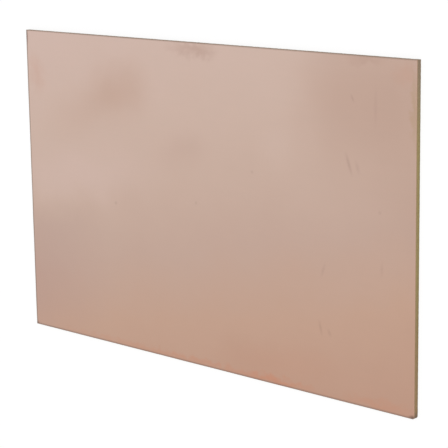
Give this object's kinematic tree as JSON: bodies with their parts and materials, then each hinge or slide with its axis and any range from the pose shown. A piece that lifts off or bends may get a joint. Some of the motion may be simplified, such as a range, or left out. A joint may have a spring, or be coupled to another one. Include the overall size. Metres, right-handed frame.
{
  "type": "copper clad board",
  "caption": "Flat rectangular circuit board blank: glass epoxy laminate with copper foil bonded to one side, its edges sheared and its copper satin and lightly marked.",
  "frame": {"origin": "middle of the bare back, which the board lies on", "axes": "+X along the length, +Y across the width, +Z out of the copper face"},
  "size_m": [0.16, 0.1, 0.0016],
  "materials": {
    "glass_epoxy": "satin",
    "copper": "satin"
  },
  "bodies": {
    "root": {"glass_epoxy_core": "glass_epoxy", "copper_foil": "copper"}
  },
  "joints": []
}
